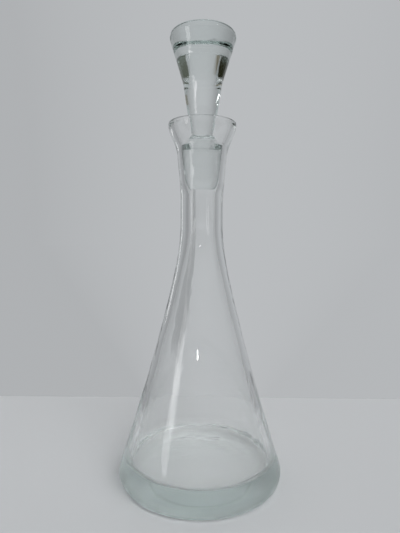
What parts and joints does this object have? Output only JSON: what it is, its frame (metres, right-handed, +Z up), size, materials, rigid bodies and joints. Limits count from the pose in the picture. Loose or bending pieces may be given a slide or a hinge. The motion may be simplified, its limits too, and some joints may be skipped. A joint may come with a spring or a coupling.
{
  "type": "decanter",
  "caption": "Tall conical glass decanter with a thick base and flared mouth, closed by a solid flat-topped stopper that lifts out of its tapered seat.",
  "frame": {"origin": "on the table under the decanter's axis, in the plane of the ring that it stands on", "axes": "+Z up along the axis of both pieces, from the foot to the stopper's flat top; X and Y are alike, because both pieces are round"},
  "size_m": [0.1168, 0.1168, 0.3162],
  "materials": {
    "flask_glass": "clear blown glass with a faint grey-green cast in its thick base, fire-polished, with a ground seat inside the neck",
    "stopper_glass": "clear solid glass, polished head and stem, finely ground plug"
  },
  "bodies": {
    "flask": {"flask": "flask_glass"},
    "stopper": {"stopper": "stopper_glass"}
  },
  "joints": [
    {"name": "stopper_lift", "type": "slide", "parent": "flask", "child": "stopper", "axis": [0, 0, 1], "range_m": [0, 0.08]}
  ]
}
